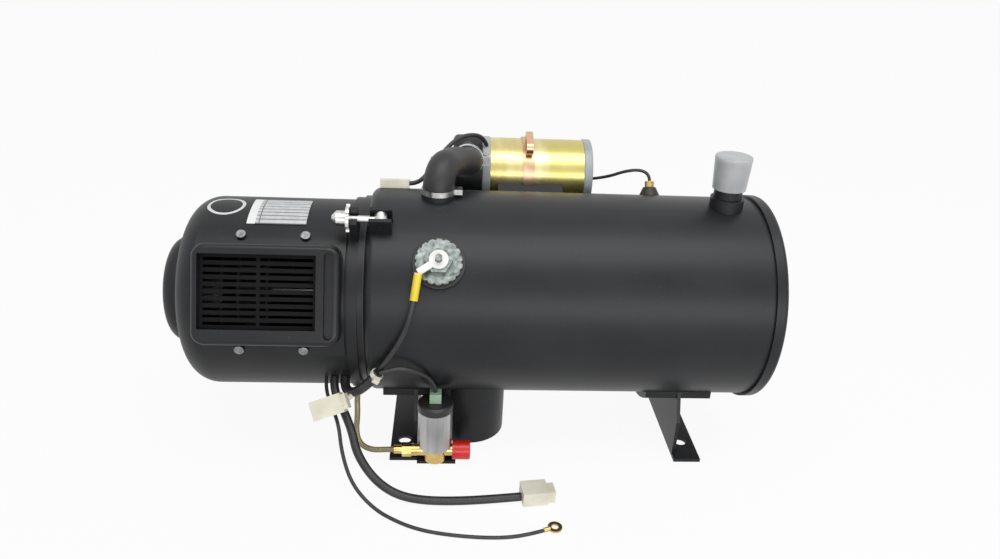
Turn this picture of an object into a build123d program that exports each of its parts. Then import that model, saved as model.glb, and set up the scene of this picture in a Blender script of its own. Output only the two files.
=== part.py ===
from build123d import *
from math import atan2, cos, degrees, pi, radians, sin, sqrt, tan
import os

# Diesel coolant heater: a burner head clamped to a horizontal water jacket on two feet.
# Millimetres. X runs along the body with the burner head at -X, the front is -Y and Z is up.
# The origin is the middle of the four foot holes, on the standing surface.

os.makedirs("parts", exist_ok=True)

# General
AXIS_Z = 148.0            # height of the jacket's axis
SEAT = 0.2                # gap of a curved seat between two fixed pieces
RUN = 0.05                # radial clearance of a running fit
FROM_BASE = (Align.CENTER, Align.CENTER, Align.MIN)

# Water jacket and what it holds
JACKET_R = 100.0
JACKET_WALL = 2.5
JACKET_FRONT = -177.0
JACKET_REAR = 203.0
FRONT_WALL = 5.0
SHOULDER = 8.0
CAP_WALL = 2.5
CAP_LIP = 7.0
CAP_EDGE = 4.5
EXCHANGER_R = 80.0
EXCHANGER_WALL = 3.0
EXCHANGER_REAR = 165.0
FIN_COUNT = 24
FIN_HEIGHT = 10.0
FIN_THICK = 2.5
FIN_FRONT = -20.0
FIN_REAR = 150.0
CHAMBER_R = 52.0
CHAMBER_WALL = 2.0
CHAMBER_REAR = 95.0
CHAMBER_FLANGE_R = 62.0
CHAMBER_FLANGE = 3.0

# Burner head
HEAD_DROP = 4.3
HEAD_Z = AXIS_Z - HEAD_DROP
HEAD_R = 91.7
HEAD_WALL = 2.0
HEAD_END = -348.5
HEAD_CORNER = 28.0
GASKET = 1.0
PLATE_THICK = 5.0
BAND_WIDTH = 9.0
BAND_HEIGHT = 2.5
DOME_R = 52.0
DOME_HEIGHT = 20.5
DOME_CORNER = 14.0
DOME_WALL = 2.0
INTAKE_TILT = 22.5        # degrees that the intake faces above the horizontal
INTAKE_LOW_X = -324.5
INTAKE_HIGH_X = -196.0
INTAKE_LOW_T = -43.0
INTAKE_HIGH_T = 46.0
INTAKE_FACE = 105.0       # from the head's axis to the face of the frame
INTAKE_CORNER = 12.0
FLANGE_THICK = 2.5
FLANGE_LOW_T = -54.0
FLANGE_HIGH_T = 60.0
WINDOW_LOW_X = -318.5
WINDOW_HIGH_X = -217.0
WINDOW_LOW_T = -29.0
WINDOW_HIGH_T = 37.0
GROOVE_X = -206.0
GROOVE_WIDTH = 8.5
GROOVE_DEPTH = 5.0
GRILLE_DEPTH = 7.0        # from the frame's face down to the grille
GRILLE_THICK = 3.0
GRILLE_EDGE = 3.0
GRILLE_BARS = 9
SCREW_XS = (-287.5, -230.5)
SCREW_TS = (-48.0, 53.0)
SCREW_R = 4.6
SCREW_SHANK_R = 2.2
LABEL_X = (-286.0, -232.5)
LABEL_ANGLE = (-4.0, 23.5)
LABEL_THICK = 0.6

# Burner drive inside the head
MOTOR_R = 44.0
MOTOR_LEFT = -341.0
BULKHEAD_X = -300.0
BULKHEAD_THICK = 3.0
DRIVE_R = 4.0
DRIVE_LEFT = -322.0
FAN_R = 72.0
FAN_X = -293.0
FAN_WIDTH = 28.0
FAN_BLADES = 24
FUEL_PUMP_R = 27.0
FUEL_PUMP_LENGTH = 28.0
GEAR_TEETH = 10
GEAR_ROOT = 7.6
GEAR_TIP = 10.6
GEAR_CENTRES = 18.6
GEAR_WIDTH = 8.0
GEAR_GAP = 0.3
IDLER_R = 3.0
FEED_R = 1.5
NOZZLE_HOLDER_R = 12.0
NOZZLE_HOLDER_LENGTH = 14.0
NOZZLE_R = 6.5
NOZZLE_LENGTH = 12.0
DIFFUSER_X = -160.0
DIFFUSER_THICK = 3.0
ELECTRODE_SPREAD = 16.0
ELECTRODE_UP = 18.0
ELECTRODE_R = 1.5
CERAMIC_R = 4.0
FLAME_EYE_R = 5.0
FLAME_EYE_AT = (-40.0, -18.0)

# Swing-bolt clamps, one at the front and one at the back
CLAMP_ANGLE = 30.5        # degrees from the top
REAR_CLAMP_ANGLE = -85.0
CLAMP_R = 110.0
CLAMP_PIN_X = -163.0
CLAMP_PIN_R = 2.5
EYE_R = 6.0
EYE_THICK = 9.0
EAR_THICK = 3.5
EAR_GAP = 0.4
EAR_LENGTH = 20.0
EAR_TOP = 117.0
BOLT_R = 3.0
BOLT_LENGTH = 38.0
HEAD_LUG_X = -189.5
HEAD_LUG_THICK = 6.0
HEAD_LUG_WIDTH = 20.0
HEAD_LUG_TOP = 114.0
NUT_FLANGE_R = 13.0
NUT_FLANGE = 3.0
NUT_R = 7.0
NUT_LENGTH = 13.0
NUT_GAP = 0.5

# Feet
FOOT_SPAN = 285.0
FOOT_HOLE_Y = 54.0
FOOT_HOLE_R = 6.5
FOOT_TIP_Y = 84.0
FOOT_THICK = 3.5
FOOT_FLANGE = 27.0
FOOT_HOLE_IN = 13.5       # from the web's outer face to the holes
WEB_TIP_Y = 74.0
WEB_SHOULDER_Z = 40.0
WEB_NECK_Y = 54.0
WEB_TOP_Z = 88.0
SADDLE_THICK = 6.0
SADDLE_ANGLE = 36.0
SADDLE_BACK = 32.0
SADDLE_FRONT = 34.0

# Exhaust
EXHAUST_X = -78.5
EXHAUST_Y = -22.0
EXHAUST_R = 37.0
EXHAUST_WALL = 2.0
EXHAUST_BOTTOM = 3.0

# Water connections
OUTLET_X = 164.0
OUTLET_Y = -10.0
OUTLET_R = 13.5
OUTLET_BORE = 11.0
JACKET_TOP = AXIS_Z + JACKET_R
OUTLET_RISE = 44.0        # from the jacket's top to the outlet's rim
OUTLET_TOP = JACKET_TOP + OUTLET_RISE
COLLAR_R = 16.0
COLLAR_RISE = 9.0
COLLAR_TOP = JACKET_TOP + COLLAR_RISE
CAP_SKIRT = 26.0          # from the outlet's rim down to the cap's edge
CAP_ROOF = 6.0            # from the outlet's rim up to the cap's top
CAP_BOTTOM = OUTLET_TOP - CAP_SKIRT
CAP_TOP = OUTLET_TOP + CAP_ROOF
CAP_LOW_R = 15.8
CAP_HIGH_R = 17.6
INLET_X = -113.0
INLET_Y = -4.0
INLET_R = 12.0
INLET_BORE = 10.0
INLET_RISE = 8.0
INLET_TOP = JACKET_TOP + INLET_RISE
INLET_COLLAR_RISE = 3.0
INLET_COLLAR_TOP = JACKET_TOP + INLET_COLLAR_RISE
HOSE_WALL = 2.6
HOSE_RISE = 24.0          # from the inlet's collar to the corner of the hose's route
HOSE_PEAK = INLET_COLLAR_TOP + HOSE_RISE
HOSE_BEND = 18.0
BAND_CLIP = 1.0
BAND_CLIP_WIDTH = 5.0
BAND_CLIP_GAP = 0.35

# Circulation pump
PUMP_FAR = 142.5          # from the jacket's axis to the pump's axis
PUMP_ANGLE = 50.4         # degrees from the top, towards the back
PUMP_Y = PUMP_FAR * sin(radians(PUMP_ANGLE))
PUMP_Z = AXIS_Z + PUMP_FAR * cos(radians(PUMP_ANGLE))
CAN_R = 36.0
CAN_WALL = 1.6
CAN_LEFT = -60.0
CAN_RIGHT = 39.0
RING_R = 37.0
RING_THICK = 9.0
ROTOR_R = 26.0
ROTOR_LENGTH = 70.0
PUMP_SHAFT_R = 4.0
VOLUTE_R = 38.0
VOLUTE_WALL = 4.0
VOLUTE_LENGTH = 30.0
IMPELLER_R = 27.0
IMPELLER_WIDTH = 12.0
IMPELLER_VANES = 6
SUCTION_R = 13.0
SUCTION_LENGTH = 24.0
SPOUT_X = -84.0
SPOUT_UP = 24.0           # from the pump's axis up to the spout's axis
SPOUT_END_Y = 62.0
STRAP_X = -20.0
STRAP_WIDTH = 12.0
STRAP_THICK = 1.6
EYE_SCREW_ANGLE = 30.0    # degrees from the top of the can, towards the front
CRADLE_LEFT = -52.0
CRADLE_RIGHT = 16.0
CRADLE_HALF = 22.0

# Sensors
SENSOR_X = -110.5
SENSOR_ANGLE = 51.0
SENSOR_RIM_R = 24.0
SENSOR_RIM = 2.5
SENSOR_PLATE_R = 21.0
SENSOR_PLATE = 4.0
SENSOR_NUT_R = 12.5
SENSOR_NUT = 6.0
SENSOR_PROBE_R = 5.5
SENSOR_PROBE = 9.0
STUD_R = 3.0
STUD_LENGTH = 9.0
TERMINAL_R = 8.5
TERMINAL_THICK = 2.4
SLEEVE_TOP = (-128.0, -97.0, 210.0)
SLEEVE_END = (-131.5, -104.0, 187.0)
SLEEVE_R = 3.6
GUARD_X = 101.0
GUARD_ANGLE = -23.5
GUARD_BOOT_R = 13.0
GUARD_BOOT_TOP_R = 6.5
GUARD_BOOT = 8.0
GUARD_CAP_R = 4.8
GUARD_CAP = 6.0

# Solenoid valve by the left foot
VALVE_X = -111.5
VALVE_Y = -85.0
VALVE_BODY_TOP = 20.5
VALVE_BODY_R = 11.0
VALVE_PORT_Z = 18.0
VALVE_PORT_R = 6.0
COIL_R = 16.4
COIL_TOP = 62.5
COIL_SIDES = 12
CORE_R = 7.0
CORE_WALL = 1.2
PLUNGER_LENGTH = 22.0
VALVE_CAP_R = 17.0
VALVE_CAP_TOP = 71.0
PLUG_SIDE = 11.0
PLUG_HEIGHT = 10.0
RED_CAP_R = 9.4
RED_CAP_LEFT = -94.5
RED_CAP_RIGHT = -77.0

# Leads and hoses
BUNDLE_R = 4.5
SENSOR_LEAD_R = 2.4
VALVE_LEAD_R = 2.0
PUMP_LEAD_R = 2.2
CONNECTOR_TAIL_R = 2.4
POWER_R = 4.0
GROUND_R = 1.7
FUEL_R = 2.8
GUARD_LEAD_R = 1.6


def across(x, y=0.0, z=AXIS_Z):
    """A plane that faces +X, with its own x along Y and its own y along Z."""
    return Plane(origin=(x, y, z), x_dir=(0, 1, 0), z_dir=(1, 0, 0))


def outward(x, angle, r, z=AXIS_Z):
    """A plane that faces away from the body's axis, at an angle from the top towards the front."""
    n = (0, -sin(radians(angle)), cos(radians(angle)))
    return Plane(origin=(x, n[1] * r, z + n[2] * r), x_dir=(1, 0, 0), z_dir=n)


def cylinder_x(left, right, radius, y=0.0, z=AXIS_Z, mode=Mode.ADD):
    """A cylinder along X in the part that is being built."""
    with Locations(across(left, y, z)):
        Cylinder(radius, right - left, align=FROM_BASE, mode=mode)


def cylinder_on(plane, radius, height, mode=Mode.ADD):
    """A cylinder that stands on a plane."""
    with Locations(plane):
        Cylinder(radius, height, align=FROM_BASE, mode=mode)


def box_on(plane, low, high, height, mode=Mode.ADD):
    """A block that stands on a plane, between two corners in the plane's own x and y."""
    with Locations(plane):
        with Locations(((low[0] + high[0]) / 2, (low[1] + high[1]) / 2, 0)):
            Box(high[0] - low[0], high[1] - low[1], height, align=FROM_BASE, mode=mode)


def keep(piece, name):
    """Labels a finished piece and writes it out under its own name."""
    piece.part.label = name
    export_step(piece.part, f"parts/{name}.step")


def unit(a, b):
    """The direction from one point to the next, and the distance."""
    d = [b[i] - a[i] for i in range(3)]
    length = sqrt(sum(v * v for v in d))
    return [v / length for v in d], length


def bend_radii(name, points):
    """The arc at each corner of a route, as large as its two runs allow."""
    radii = []
    for a, b, c in zip(points, points[1:], points[2:]):
        (u, first), (v, second) = unit(a, b), unit(b, c)
        cosine = max(-1.0, min(1.0, sum(p * q for p, q in zip(u, v))))
        turn = atan2(sqrt(1 - cosine * cosine), cosine)
        radii.append(0.45 * min(first, second) / tan(turn / 2))
    print(name, "bend radii", [round(r) for r in radii])
    return radii


def lead(name, points, radius):
    """A cord's tube along straight runs that are joined by tangent arcs."""
    with BuildPart() as tube:
        with BuildLine() as route:
            FilletPolyline(*points, radius=bend_radii(name, points))
        with BuildSketch(Plane(origin=route.line @ 0, z_dir=route.line % 0)):
            Circle(radius)
        sweep()
    length = route.wire().length
    ideal = pi * radius * radius * length
    print(name, "length", round(length, 1), "volume ratio", round(tube.part.volume / ideal, 4))
    keep(tube, name)
    return tube


def clamp_side(angle):
    """A clamp's outward plane over its pin, at an angle from the top towards the front."""
    return outward(CLAMP_PIN_X, angle, 0)


EAR_IN = EYE_THICK / 2 + EAR_GAP
PIN_REACH = EAR_IN + EAR_THICK + 1.5
SIDES = {"front": CLAMP_ANGLE, "rear": REAR_CLAMP_ANGLE}

# Swing-bolt ears with their pins, welded to the jacket
with BuildPart() as ears:
    for side in SIDES.values():
        plane = clamp_side(side)
        for low, high in ((EAR_IN, EAR_IN + EAR_THICK), (-EAR_IN - EAR_THICK, -EAR_IN)):
            box_on(plane, (-EAR_LENGTH / 2, low), (EAR_LENGTH / 2, high), EAR_TOP)
    cylinder_x(JACKET_FRONT - 9, JACKET_REAR, JACKET_R - JACKET_WALL, mode=Mode.SUBTRACT)
    for side in SIDES.values():
        plane = clamp_side(side)
        start = Plane(origin=plane.from_local_coords((0, -PIN_REACH, CLAMP_R)), z_dir=plane.y_dir)
        cylinder_on(start, CLAMP_PIN_R, 2 * PIN_REACH)

# Water jacket: outer shell with its front wall, and openings for everything that passes through
with BuildPart() as jacket_shell:
    cylinder_x(JACKET_FRONT, JACKET_REAR, JACKET_R)
    fillet(jacket_shell.edges().filter_by(GeomType.CIRCLE).sort_by(Axis.X)[0], SHOULDER)
    cylinder_x(JACKET_FRONT + FRONT_WALL, JACKET_REAR, JACKET_R - JACKET_WALL, mode=Mode.SUBTRACT)
    cylinder_x(JACKET_FRONT, JACKET_FRONT + FRONT_WALL, EXCHANGER_R + SEAT, mode=Mode.SUBTRACT)
    cylinder_on(Plane((OUTLET_X, OUTLET_Y, AXIS_Z)), OUTLET_BORE, JACKET_R + 1, mode=Mode.SUBTRACT)
    cylinder_on(Plane((INLET_X, INLET_Y, AXIS_Z)), INLET_BORE, JACKET_R + 1, mode=Mode.SUBTRACT)
    cylinder_on(Plane((EXHAUST_X, EXHAUST_Y, 0)), EXHAUST_R + SEAT, AXIS_Z, mode=Mode.SUBTRACT)
    cylinder_on(outward(SENSOR_X, SENSOR_ANGLE, 0), SENSOR_PROBE_R + SEAT, JACKET_R + 1, mode=Mode.SUBTRACT)
    add(ears.part)
keep(jacket_shell, "jacket_shell")

# Dished end cap whose lip wraps the rear of the shell
CAP_R = JACKET_R + SEAT + CAP_WALL
with BuildPart() as jacket_end_cap:
    cylinder_x(JACKET_REAR - CAP_LIP, JACKET_REAR + CAP_EDGE, CAP_R)
    fillet(jacket_end_cap.edges().filter_by(GeomType.CIRCLE).sort_by(Axis.X)[-1], CAP_EDGE - 0.5)
    cylinder_x(JACKET_REAR - CAP_LIP, JACKET_REAR, JACKET_R + SEAT, mode=Mode.SUBTRACT)
    with BuildSketch(across(JACKET_REAR + CAP_EDGE)):
        Circle(CAP_R - 2 * CAP_EDGE)
    extrude(amount=-(CAP_EDGE - CAP_WALL), taper=30, mode=Mode.SUBTRACT)
keep(jacket_end_cap, "jacket_end_cap")

# Heat exchanger: a closed cup with fins inside, wetted on its outside
with BuildPart() as heat_exchanger:
    cylinder_x(JACKET_FRONT, EXCHANGER_REAR, EXCHANGER_R)
    fillet(heat_exchanger.edges().filter_by(GeomType.CIRCLE).sort_by(Axis.X)[-1], 14)
    inner_r = EXCHANGER_R - EXCHANGER_WALL
    cylinder_x(JACKET_FRONT, EXCHANGER_REAR - 2 * EXCHANGER_WALL, inner_r, mode=Mode.SUBTRACT)
    with BuildSketch(across(FIN_FRONT)):
        with PolarLocations(inner_r - FIN_HEIGHT / 2 + 0.5, FIN_COUNT):
            Rectangle(FIN_HEIGHT + 1, FIN_THICK)
    extrude(amount=FIN_REAR - FIN_FRONT)
    cylinder_on(Plane((EXHAUST_X, EXHAUST_Y, 0)), EXHAUST_R - EXHAUST_WALL + 1, AXIS_Z, mode=Mode.SUBTRACT)
keep(heat_exchanger, "heat_exchanger")

# Combustion chamber: a flanged tube inside the exchanger, with a slotted air diffuser welded in
PLATE_RIGHT = JACKET_FRONT - GASKET
with BuildPart() as combustion_chamber:
    cylinder_x(PLATE_RIGHT, CHAMBER_REAR, CHAMBER_R)
    cylinder_x(PLATE_RIGHT, PLATE_RIGHT + CHAMBER_FLANGE, CHAMBER_FLANGE_R)
    cylinder_x(PLATE_RIGHT, CHAMBER_REAR, CHAMBER_R - CHAMBER_WALL, mode=Mode.SUBTRACT)
    cylinder_x(DIFFUSER_X, DIFFUSER_X + DIFFUSER_THICK, CHAMBER_R - CHAMBER_WALL / 2)
    with BuildSketch(across(DIFFUSER_X)):
        Circle(NOZZLE_R + 3)
        with PolarLocations(36, 12, start_angle=15):
            Rectangle(16, 3, rotation=25)
        with Locations((-ELECTRODE_SPREAD, ELECTRODE_UP), (ELECTRODE_SPREAD, ELECTRODE_UP)):
            Circle(CERAMIC_R + SEAT)
    extrude(amount=DIFFUSER_THICK, mode=Mode.SUBTRACT)
keep(combustion_chamber, "combustion_chamber")

with BuildPart() as flange_gasket:
    cylinder_x(PLATE_RIGHT, JACKET_FRONT, JACKET_R - SHOULDER)
    cylinder_x(PLATE_RIGHT, JACKET_FRONT, EXCHANGER_R, mode=Mode.SUBTRACT)
keep(flange_gasket, "flange_gasket")

# Burner plate: closes the head and carries the fuel pump, the nozzle and the electrodes
PLATE_LEFT = PLATE_RIGHT - PLATE_THICK
ELECTRODE_POINTS = [(-ELECTRODE_SPREAD, ELECTRODE_UP), (ELECTRODE_SPREAD, ELECTRODE_UP)]
with BuildPart() as burner_plate:
    cylinder_x(PLATE_LEFT, PLATE_RIGHT, JACKET_R - SHOULDER)
    with BuildSketch(across(PLATE_LEFT)):
        Circle(FEED_R)
        with Locations(*ELECTRODE_POINTS):
            Circle(CERAMIC_R + SEAT)
        with Locations(FLAME_EYE_AT):
            Circle(FLAME_EYE_R + SEAT)
    extrude(amount=PLATE_THICK, mode=Mode.SUBTRACT)
keep(burner_plate, "burner_plate")

NOZZLE_LEFT = PLATE_RIGHT + NOZZLE_HOLDER_LENGTH
with BuildPart() as fuel_nozzle:
    cylinder_x(PLATE_RIGHT, NOZZLE_LEFT, NOZZLE_HOLDER_R)
    with BuildSketch(across(NOZZLE_LEFT)):
        RegularPolygon(NOZZLE_R, 6)
    extrude(amount=NOZZLE_LENGTH - 4)
    with BuildSketch(across(NOZZLE_LEFT + NOZZLE_LENGTH - 4)):
        Circle(NOZZLE_R - 1.5)
    extrude(amount=4, taper=20)
    cylinder_x(PLATE_RIGHT, NOZZLE_LEFT, FEED_R, mode=Mode.SUBTRACT)
keep(fuel_nozzle, "fuel_nozzle")

with BuildPart() as ignition_electrodes:
    for y, z in ELECTRODE_POINTS:
        cylinder_x(PLATE_LEFT - 12, DIFFUSER_X + 8, CERAMIC_R, y, AXIS_Z + z)
        cylinder_x(DIFFUSER_X + 8, DIFFUSER_X + 18, ELECTRODE_R, y, AXIS_Z + z)
keep(ignition_electrodes, "ignition_electrodes")

with BuildPart() as flame_sensor:
    y, z = FLAME_EYE_AT
    cylinder_x(PLATE_LEFT - 14, PLATE_RIGHT + 2, FLAME_EYE_R, y, AXIS_Z + z)
    cylinder_x(PLATE_LEFT - 6, PLATE_LEFT, FLAME_EYE_R + 3, y, AXIS_Z + z)
keep(flame_sensor, "flame_sensor")

with BuildPart() as ignition_coil:
    box_on(across(PLATE_LEFT - 48), (2, -74), (42, -40), 48)
    chamfer(ignition_coil.edges().filter_by(Axis.X), 3)
keep(ignition_coil, "ignition_coil")

# Burner housing: a rounded drum with a window for the intake and a band at its open end
BAND_LEFT = PLATE_LEFT - BAND_WIDTH
with BuildPart() as slotted_lugs:
    for side in SIDES.values():
        plane = outward(HEAD_LUG_X, side, 0)
        half = HEAD_LUG_WIDTH / 2
        box_on(plane, (0, -half), (HEAD_LUG_THICK, half), HEAD_LUG_TOP)
        slot = outward(HEAD_LUG_X, side, CLAMP_R - BOLT_R - 0.6)
        box_on(slot, (-1, -BOLT_R - 0.6), (HEAD_LUG_THICK + 1, BOLT_R + 0.6), 40, mode=Mode.SUBTRACT)
    cylinder_x(HEAD_END, PLATE_LEFT, HEAD_R, z=HEAD_Z, mode=Mode.SUBTRACT)

with BuildPart() as burner_housing:
    cylinder_x(HEAD_END, PLATE_LEFT, HEAD_R, z=HEAD_Z)
    fillet(burner_housing.edges().filter_by(GeomType.CIRCLE).sort_by(Axis.X)[0], HEAD_CORNER)
    cylinder_x(BAND_LEFT, PLATE_LEFT, HEAD_R + BAND_HEIGHT, z=HEAD_Z)
    with BuildPart(mode=Mode.PRIVATE) as head_space:
        cylinder_x(HEAD_END + HEAD_WALL, PLATE_LEFT, HEAD_R - HEAD_WALL, z=HEAD_Z)
        fillet(head_space.edges().filter_by(GeomType.CIRCLE).sort_by(Axis.X)[0], HEAD_CORNER - HEAD_WALL)
    add(head_space.part, mode=Mode.SUBTRACT)
    cylinder_x(HEAD_END, HEAD_END + HEAD_WALL, DOME_R - 4, z=HEAD_Z, mode=Mode.SUBTRACT)
    intake_plane = outward(0, 90 - INTAKE_TILT, 0, HEAD_Z)
    box_on(intake_plane, (WINDOW_LOW_X, WINDOW_LOW_T), (WINDOW_HIGH_X, WINDOW_HIGH_T), INTAKE_FACE,
           mode=Mode.SUBTRACT)
    add(slotted_lugs.part)
    cylinder_x(BULKHEAD_X - BULKHEAD_THICK, BULKHEAD_X, HEAD_R - HEAD_WALL / 2, z=HEAD_Z)
    cylinder_x(BULKHEAD_X - BULKHEAD_THICK, BULKHEAD_X, DRIVE_R + 6, z=HEAD_Z, mode=Mode.SUBTRACT)
keep(burner_housing, "burner_housing")

with BuildPart() as motor_cover:
    cylinder_x(HEAD_END - DOME_HEIGHT, HEAD_END, DOME_R, z=HEAD_Z)
    fillet(motor_cover.edges().filter_by(GeomType.CIRCLE).sort_by(Axis.X)[0], DOME_CORNER)
    cylinder_x(HEAD_END - DOME_HEIGHT + DOME_WALL + 2, HEAD_END, DOME_R - DOME_WALL - 6, z=HEAD_Z,
               mode=Mode.SUBTRACT)
keep(motor_cover, "motor_cover")

# Air intake: a raised frame on a curved flange, with a groove down its right side
with BuildPart() as intake_frame:
    with BuildSketch(outward(0, 90 - INTAKE_TILT, 60, HEAD_Z)):
        with Locations(((INTAKE_LOW_X + INTAKE_HIGH_X) / 2, (INTAKE_LOW_T + INTAKE_HIGH_T) / 2)):
            RectangleRounded(INTAKE_HIGH_X - INTAKE_LOW_X, INTAKE_HIGH_T - INTAKE_LOW_T, INTAKE_CORNER)
    extrude(amount=INTAKE_FACE - 60)
    front_face = intake_frame.faces().sort_by(Axis(origin=(0, 0, HEAD_Z), direction=intake_plane.z_dir))[-1]
    fillet(front_face.edges(), 5)
    with BuildPart(mode=Mode.PRIVATE) as curved_flange:
        cylinder_x(INTAKE_LOW_X - 2, INTAKE_HIGH_X + 2, HEAD_R + SEAT + FLANGE_THICK, z=HEAD_Z)
        box_on(outward(0, 90 - INTAKE_TILT, 0, HEAD_Z), (INTAKE_LOW_X - 2, FLANGE_LOW_T),
               (INTAKE_HIGH_X + 2, FLANGE_HIGH_T), INTAKE_FACE, mode=Mode.INTERSECT)
    add(curved_flange.part)
    cylinder_x(INTAKE_LOW_X - 9, INTAKE_HIGH_X + 9, HEAD_R + SEAT, z=HEAD_Z, mode=Mode.SUBTRACT)
    box_on(intake_plane, (WINDOW_LOW_X, WINDOW_LOW_T), (WINDOW_HIGH_X, WINDOW_HIGH_T), INTAKE_FACE + 1,
           mode=Mode.SUBTRACT)
    with BuildSketch(outward(0, 90 - INTAKE_TILT, INTAKE_FACE - GROOVE_DEPTH, HEAD_Z)):
        with Locations((GROOVE_X, (INTAKE_LOW_T + INTAKE_HIGH_T) / 2)):
            SlotOverall(INTAKE_HIGH_T - INTAKE_LOW_T - 12, GROOVE_WIDTH, rotation=90)
    extrude(amount=GROOVE_DEPTH + 1, mode=Mode.SUBTRACT)
    for x in SCREW_XS:
        for t in SCREW_TS:
            cylinder_on(Plane(origin=intake_plane.from_local_coords((x, t, 0)), z_dir=intake_plane.z_dir),
                        SCREW_SHANK_R + SEAT, INTAKE_FACE, mode=Mode.SUBTRACT)
keep(intake_frame, "intake_frame")

# Grille behind the frame's face: an edge with slats and one upright rib
grille_plane = outward(0, 90 - INTAKE_TILT, INTAKE_FACE - GRILLE_DEPTH - GRILLE_THICK, HEAD_Z)
WINDOW_MID_X = (WINDOW_LOW_X + WINDOW_HIGH_X) / 2
WINDOW_MID_T = (WINDOW_LOW_T + WINDOW_HIGH_T) / 2
WINDOW_W = WINDOW_HIGH_X - WINDOW_LOW_X - 2 * SEAT
WINDOW_H = WINDOW_HIGH_T - WINDOW_LOW_T - 2 * SEAT
SLAT_PITCH = (WINDOW_H - GRILLE_EDGE) / (GRILLE_BARS + 1)
with BuildPart() as intake_grille:
    with BuildSketch(grille_plane):
        with Locations((WINDOW_MID_X, WINDOW_MID_T)):
            Rectangle(WINDOW_W, WINDOW_H)
            Rectangle(WINDOW_W - 2 * GRILLE_EDGE, WINDOW_H - 2 * GRILLE_EDGE, mode=Mode.SUBTRACT)
            Rectangle(GRILLE_EDGE, WINDOW_H)
            with GridLocations(0, SLAT_PITCH, 1, GRILLE_BARS):
                Rectangle(WINDOW_W, SLAT_PITCH * 0.6)
    extrude(amount=GRILLE_THICK)
keep(intake_grille, "intake_grille")

# Intake screws: pan heads seated on the curved flange
with BuildPart() as intake_screws:
    for x in SCREW_XS:
        for t in SCREW_TS:
            angle = 90 - INTAKE_TILT - degrees(atan2(t, sqrt((HEAD_R + FLANGE_THICK) ** 2 - t * t)))
            seat = outward(x, angle, HEAD_R + 2 * SEAT + FLANGE_THICK, HEAD_Z)
            cylinder_on(seat, SCREW_R, 3.2)
    fillet(intake_screws.edges().filter_by(GeomType.CIRCLE).group_by(SortBy.RADIUS)[-1], 1.2)
keep(intake_screws, "intake_screws")

# Blank rating plate on the top of the head
with BuildPart() as rating_plate:
    with BuildSketch(across(LABEL_X[0], z=HEAD_Z)):
        Circle(HEAD_R + SEAT + LABEL_THICK)
        Circle(HEAD_R + SEAT, mode=Mode.SUBTRACT)
        with BuildLine():
            far = 2 * HEAD_R
            corners = [(-far * sin(radians(a)), far * cos(radians(a))) for a in LABEL_ANGLE]
            Polyline((0, 0), corners[0], corners[1], (0, 0))
        make_face(mode=Mode.INTERSECT)
    extrude(amount=LABEL_X[1] - LABEL_X[0])
keep(rating_plate, "rating_plate")

# Burner motor, flanged to the housing's bulkhead
with BuildPart() as burner_motor:
    cylinder_x(MOTOR_LEFT, BULKHEAD_X - BULKHEAD_THICK, MOTOR_R, z=HEAD_Z)
    fillet(burner_motor.edges().filter_by(GeomType.CIRCLE), 3)
    cylinder_x(DRIVE_LEFT, BULKHEAD_X, DRIVE_R + RUN, z=HEAD_Z, mode=Mode.SUBTRACT)
keep(burner_motor, "burner_motor")

# Fuel pump on the burner plate, with a drive gear and an idler gear
FUEL_PUMP_LEFT = PLATE_LEFT - FUEL_PUMP_LENGTH
GEAR_LEFT = FUEL_PUMP_LEFT + 10
GEAR_RIGHT = GEAR_LEFT + GEAR_WIDTH + 2 * GEAR_GAP
IDLER_Z = HEAD_Z - GEAR_CENTRES
with BuildPart() as fuel_pump_body:
    cylinder_x(FUEL_PUMP_LEFT, PLATE_LEFT, FUEL_PUMP_R, z=HEAD_Z - GEAR_CENTRES / 2)
    for z in (HEAD_Z, IDLER_Z):
        cylinder_x(GEAR_LEFT, GEAR_RIGHT, GEAR_TIP + GEAR_GAP, z=z, mode=Mode.SUBTRACT)
    cylinder_x(FUEL_PUMP_LEFT, GEAR_LEFT, DRIVE_R + RUN, z=HEAD_Z, mode=Mode.SUBTRACT)
    cylinder_x(GEAR_LEFT, GEAR_RIGHT, IDLER_R, z=IDLER_Z)
keep(fuel_pump_body, "fuel_pump_body")


def gear_outline(turned):
    """The outline of a small spur gear in the sketch that is being drawn; the teeth leave backlash."""
    Circle(GEAR_ROOT)
    tooth = [(GEAR_ROOT - 1, -1.6), (GEAR_TIP, -0.7), (GEAR_TIP, 0.7), (GEAR_ROOT - 1, 1.6)]
    for k in range(GEAR_TEETH):
        with Locations(Location((0, 0, 0), (0, 0, 360 / GEAR_TEETH * (k + turned) + 90))):
            Polygon(*tooth, align=None)


with BuildPart() as fuel_idler_gear:
    with BuildSketch(across(GEAR_LEFT + GEAR_GAP, z=IDLER_Z)):
        gear_outline(0.5)
        Circle(IDLER_R + RUN, mode=Mode.SUBTRACT)
    extrude(amount=GEAR_WIDTH)
keep(fuel_idler_gear, "fuel_idler_gear")

# Burner shaft with the pump's drive gear cut on its end
with BuildPart() as burner_shaft:
    with BuildSketch(across(GEAR_LEFT + GEAR_GAP, z=HEAD_Z)):
        gear_outline(0.0)
    extrude(amount=GEAR_WIDTH)
    cylinder_x(DRIVE_LEFT + 1, GEAR_LEFT + GEAR_GAP + GEAR_WIDTH, DRIVE_R, z=HEAD_Z)
keep(burner_shaft, "burner_shaft")

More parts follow.
